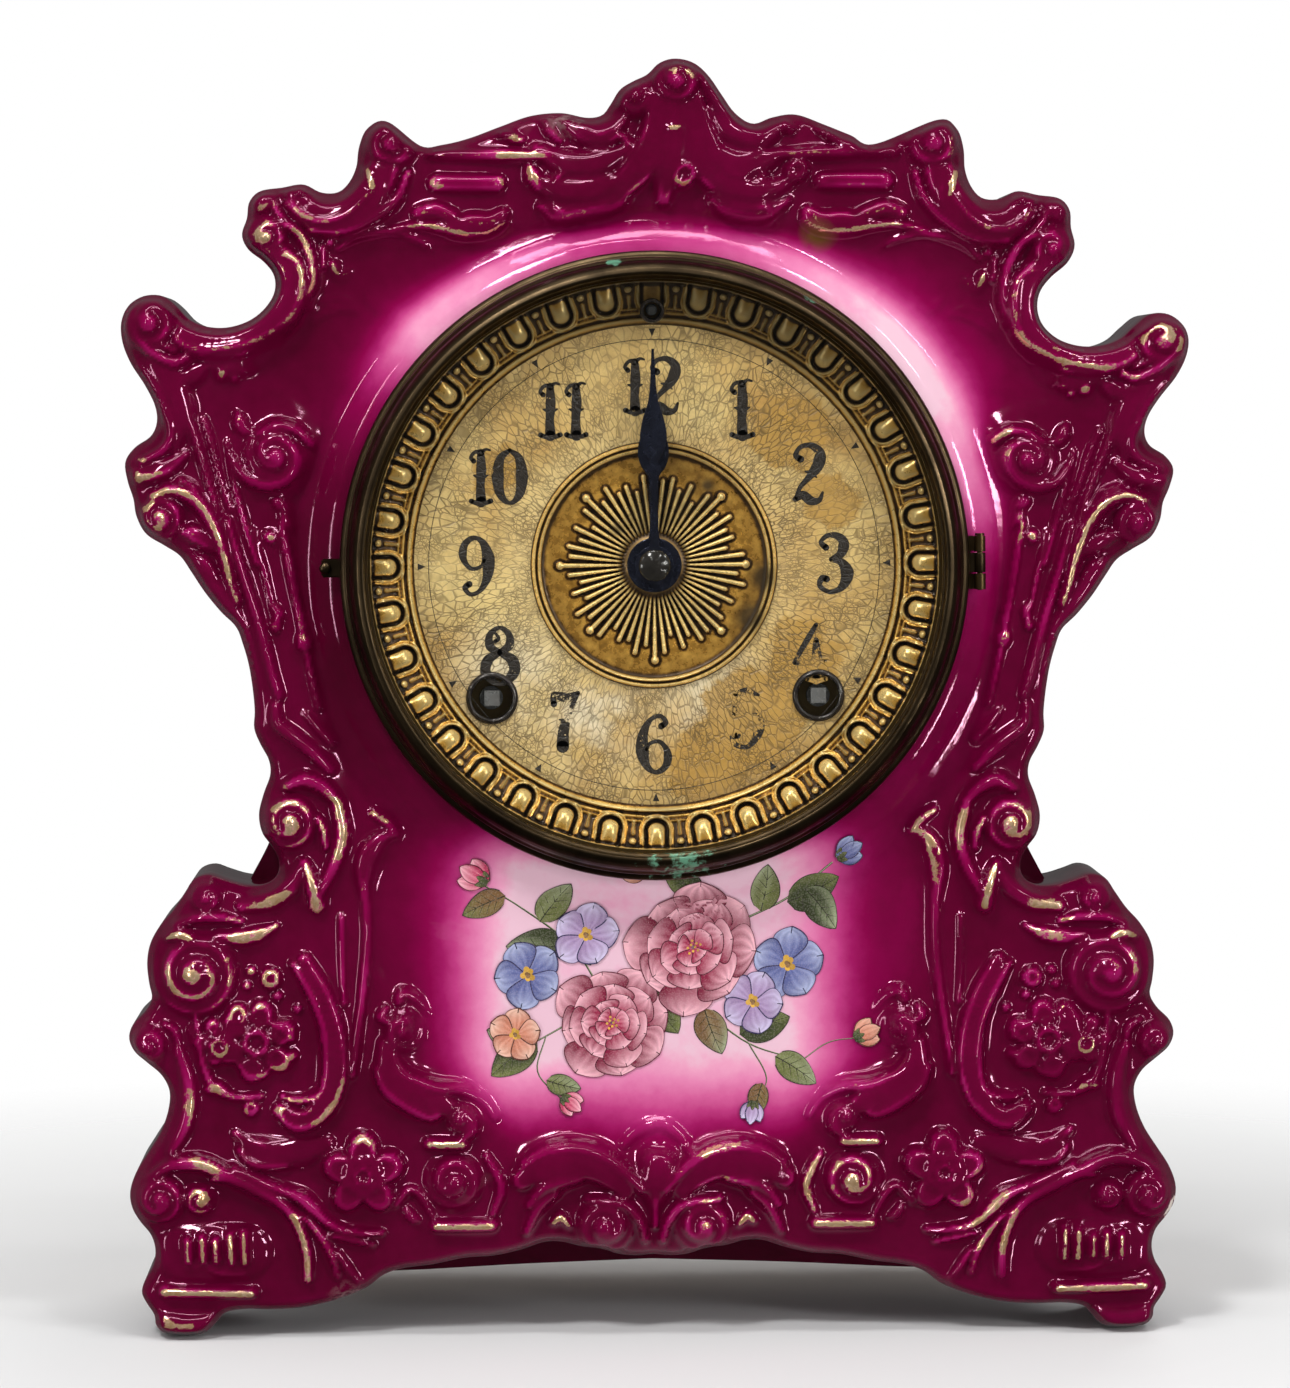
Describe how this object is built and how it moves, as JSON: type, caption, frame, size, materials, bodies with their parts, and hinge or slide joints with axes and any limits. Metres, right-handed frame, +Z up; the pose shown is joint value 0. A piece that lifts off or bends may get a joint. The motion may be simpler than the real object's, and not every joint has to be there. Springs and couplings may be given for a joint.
{
  "type": "porcelain mantel clock",
  "caption": "Rococo glazed porcelain mantel clock with a hinged glazed bezel, open dial with egg-and-dart ring, and an eight-day spring-driven striking movement with pendulum and gong.",
  "frame": {"origin": "bottom centre of the bounding box, on the shelf under the clock", "axes": "+Z up, the dial faces -Y, +X to the right of a viewer who faces the dial"},
  "size_m": [0.243, 0.1344, 0.29],
  "materials": {
    "porcelain": "clear glossy glaze over deep raspberry and pale pink colour, with worn gold on the scrolls",
    "pan_brass": "dull toned sheet brass",
    "gilt": "gilt stamped brass with dark toned hollows",
    "dial_paper": "aged cream printed paper under a crackled varnish",
    "eyelet_black": "black enamelled sheet",
    "blued_steel": "dark blued steel",
    "bezel_bronze": "dark bronzed brass with a little verdigris",
    "glass": "clear domed glass",
    "hinge_brass": "toned brass",
    "plate_brass": "brushed sheet brass",
    "wheel_brass": "stamped wheel brass",
    "steel": "turned bright steel",
    "spring_steel": "blue grey tempered steel",
    "gong_steel": "blued hardened steel wire",
    "iron": "black japanned cast iron",
    "bob_brass": "spun brass shell",
    "door_brass": "spun sheet brass, toned"
  },
  "bodies": {
    "clock": {"case_shell": "porcelain", "dial_pan": "pan_brass", "egg_ring": "gilt", "dial_plate": "dial_paper", "medallion": "gilt", "dial_eyelets": "eyelet_black", "bezel_hinge": "hinge_brass", "bezel_hinge_pin": "hinge_brass", "front_plate": "plate_brass", "back_plate": "plate_brass", "pillars": "plate_brass", "plate_nuts": "plate_brass", "movement_posts": "plate_brass", "minute_stud": "steel", "time_mainspring": "spring_steel", "strike_mainspring": "spring_steel", "suspension_bracket": "plate_brass", "front_bracket": "plate_brass", "bracket_screws": "blued_steel", "gong_stand": "iron", "gong_coil": "gong_steel", "back_straps": "door_brass", "strap_fasteners": "blued_steel", "back_ring": "door_brass", "door_hinge": "door_brass"},
    "bezel": {"bezel_ring": "bezel_bronze", "bezel_glass": "glass", "glass_retainer": "hinge_brass"},
    "door": {"back_door": "door_brass"},
    "minute": {"centre_arbor": "steel", "cannon_pinion": "wheel_brass", "clutch_spring": "spring_steel", "minute_hand": "blued_steel", "hand_nut": "bezel_bronze"},
    "motion": {"minute_wheel": "wheel_brass"},
    "hour": {"hour_wheel": "wheel_brass", "hour_hand": "blued_steel"},
    "centre": {"centre_wheel": "wheel_brass"},
    "time_great": {"time_great_wheel": "wheel_brass"},
    "time_click_body": {"time_click": "steel"},
    "time_arbor": {"time_winding_arbor": "steel"},
    "time_2": {"time_second": "wheel_brass"},
    "time_3": {"time_third": "wheel_brass"},
    "escape": {"escape_wheel": "wheel_brass"},
    "verge_body": {"verge": "steel"},
    "regulator": {"regulator_arbor": "steel"},
    "rack": {"regulator_rack": "wheel_brass", "suspension_spring": "spring_steel"},
    "pendulum": {"pendulum_rod": "hinge_brass", "pendulum_bob": "bob_brass", "rating_nut": "bob_brass"},
    "strike_great": {"strike_great_wheel": "wheel_brass"},
    "strike_click_body": {"strike_click": "steel"},
    "strike_arbor": {"strike_winding_arbor": "steel"},
    "strike_2": {"strike_second": "wheel_brass"},
    "strike_3": {"strike_third": "wheel_brass"},
    "fly_body": {"fly": "wheel_brass"},
    "count_body": {"count_lever": "steel"},
    "hammer_body": {"hammer": "steel"}
  },
  "joints": [
    {"name": "bezel_hinge", "type": "hinge", "parent": "clock", "child": "bezel", "pos_m": [0.0734, -0.0572, 0.175], "axis": [0, 0, 1], "range_deg": [0, 95]},
    {"name": "door_hinge", "type": "hinge", "parent": "clock", "child": "door", "pos_m": [0.0576, 0.0597, 0.175], "axis": [0, 0, -1], "range_deg": [0, 110]},
    {"name": "minute_turn", "type": "hinge", "parent": "clock", "child": "minute", "pos_m": [0, -0.0492, 0.175], "axis": [0, 1, 0], "continuous": true},
    {"name": "motion_turn", "type": "hinge", "parent": "clock", "child": "motion", "pos_m": [-0.00919, -0.0492, 0.16729], "axis": [0, 1, 0], "continuous": true},
    {"name": "hour_turn", "type": "hinge", "parent": "clock", "child": "hour", "pos_m": [0, -0.0492, 0.175], "axis": [0, 1, 0], "continuous": true},
    {"name": "centre_wheel_turn", "type": "hinge", "parent": "clock", "child": "centre", "pos_m": [0, -0.0492, 0.175], "axis": [0, 1, 0], "continuous": true},
    {"name": "time_great_turn", "type": "hinge", "parent": "clock", "child": "time_great", "pos_m": [0.0365, -0.0492, 0.1455], "axis": [0, 1, 0], "continuous": true},
    {"name": "time_second_turn", "type": "hinge", "parent": "clock", "child": "time_2", "pos_m": [0.02094, -0.0492, 0.15807], "axis": [0, 1, 0], "continuous": true},
    {"name": "time_third_turn", "type": "hinge", "parent": "clock", "child": "time_3", "pos_m": [0.02088, -0.0492, 0.17652], "axis": [0, 1, 0], "continuous": true},
    {"name": "escape_turn", "type": "hinge", "parent": "clock", "child": "escape", "pos_m": [0.01114, -0.0492, 0.18924], "axis": [0, 1, 0], "continuous": true},
    {"name": "time_winding", "type": "hinge", "parent": "clock", "child": "time_arbor", "pos_m": [0.0365, -0.0492, 0.1455], "axis": [0, 1, 0], "continuous": true},
    {"name": "time_click_lift", "type": "hinge", "parent": "time_great", "child": "time_click_body", "pos_m": [0.0459, -0.0492, 0.1455], "axis": [0, 1, 0], "range_deg": [0, 12]},
    {"name": "strike_great_turn", "type": "hinge", "parent": "clock", "child": "strike_great", "pos_m": [-0.0365, -0.0492, 0.1455], "axis": [0, 1, 0], "continuous": true},
    {"name": "strike_second_turn", "type": "hinge", "parent": "clock", "child": "strike_2", "pos_m": [-0.02094, -0.0492, 0.15807], "axis": [0, 1, 0], "continuous": true},
    {"name": "strike_third_turn", "type": "hinge", "parent": "clock", "child": "strike_3", "pos_m": [-0.02088, -0.0492, 0.17652], "axis": [0, 1, 0], "continuous": true},
    {"name": "fly_turn", "type": "hinge", "parent": "clock", "child": "fly_body", "pos_m": [-0.01114, -0.0492, 0.18924], "axis": [0, 1, 0], "continuous": true},
    {"name": "strike_winding", "type": "hinge", "parent": "clock", "child": "strike_arbor", "pos_m": [-0.0365, -0.0492, 0.1455], "axis": [0, 1, 0], "continuous": true},
    {"name": "strike_click_lift", "type": "hinge", "parent": "strike_great", "child": "strike_click_body", "pos_m": [-0.0459, -0.0492, 0.1455], "axis": [0, -1, 0], "range_deg": [0, 12]},
    {"name": "regulator_turn", "type": "hinge", "parent": "clock", "child": "regulator", "pos_m": [0, -0.0492, 0.232], "axis": [0, 1, 0], "range_deg": [-19.5, 19.5]},
    {"name": "rack_slide", "type": "slide", "parent": "clock", "child": "rack", "axis": [0, 0, 1], "range_m": [-0.001, 0.001]},
    {"name": "pendulum_swing", "type": "hinge", "parent": "rack", "child": "pendulum", "pos_m": [0, 0.0008, 0.2038], "axis": [0, 1, 0], "range_deg": [-3, 3]},
    {"name": "verge_rock", "type": "hinge", "parent": "clock", "child": "verge_body", "pos_m": [0, -0.0492, 0.2038], "axis": [0, 1, 0], "range_deg": [-3, 3]},
    {"name": "hammer_lift", "type": "hinge", "parent": "clock", "child": "hammer_body", "pos_m": [-0.038, -0.0492, 0.183], "axis": [0, 1, 0], "range_deg": [0, 12]},
    {"name": "count_lever_lift", "type": "hinge", "parent": "clock", "child": "count_body", "pos_m": [-0.046, -0.0492, 0.18], "axis": [0, 1, 0], "range_deg": [0, 8]}
  ],
  "couplings": [
    {"joint": "motion_turn", "follows": "minute_turn", "ratio": -0.33333},
    {"joint": "hour_turn", "follows": "minute_turn", "ratio": 0.083333},
    {"joint": "time_second_turn", "follows": "time_third_turn", "ratio": -0.078947},
    {"joint": "time_great_turn", "follows": "time_third_turn", "ratio": 0.0087719},
    {"joint": "centre_wheel_turn", "follows": "time_third_turn", "ratio": 0.10526},
    {"joint": "escape_turn", "follows": "time_third_turn", "ratio": -12},
    {"joint": "strike_second_turn", "follows": "strike_third_turn", "ratio": -0.078947},
    {"joint": "strike_great_turn", "follows": "strike_third_turn", "ratio": 0.0087719},
    {"joint": "fly_turn", "follows": "strike_third_turn", "ratio": -12},
    {"joint": "regulator_turn", "follows": "rack_slide", "rad_per_m": -333.33},
    {"joint": "verge_rock", "follows": "pendulum_swing", "ratio": 1}
  ]
}
